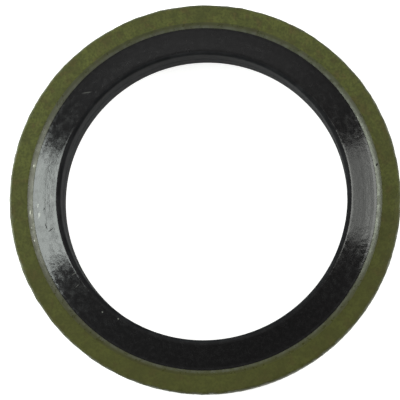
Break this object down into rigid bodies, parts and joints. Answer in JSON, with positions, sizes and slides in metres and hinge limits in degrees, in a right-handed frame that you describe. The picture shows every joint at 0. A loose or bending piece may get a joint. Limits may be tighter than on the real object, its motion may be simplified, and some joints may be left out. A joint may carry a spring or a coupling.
{
  "type": "drain plug seal ring",
  "caption": "Bonded seal ring for an oil drain plug: a flat olive-green steel ring with a black rubber seal moulded into its bore, whose lips stand proud of both faces.",
  "frame": {"origin": "centre of the bore, half way up the ring", "axes": "+Z along the bore axis; the two sides are alike but for the rolled rim, which is on the +Z side"},
  "size_m": [0.022, 0.022, 0.003],
  "materials": {
    "passivated_steel": "matte",
    "moulded_rubber": "satin"
  },
  "bodies": {
    "root": {"steel_ring": "passivated_steel", "rubber_seal": "moulded_rubber"}
  },
  "joints": []
}
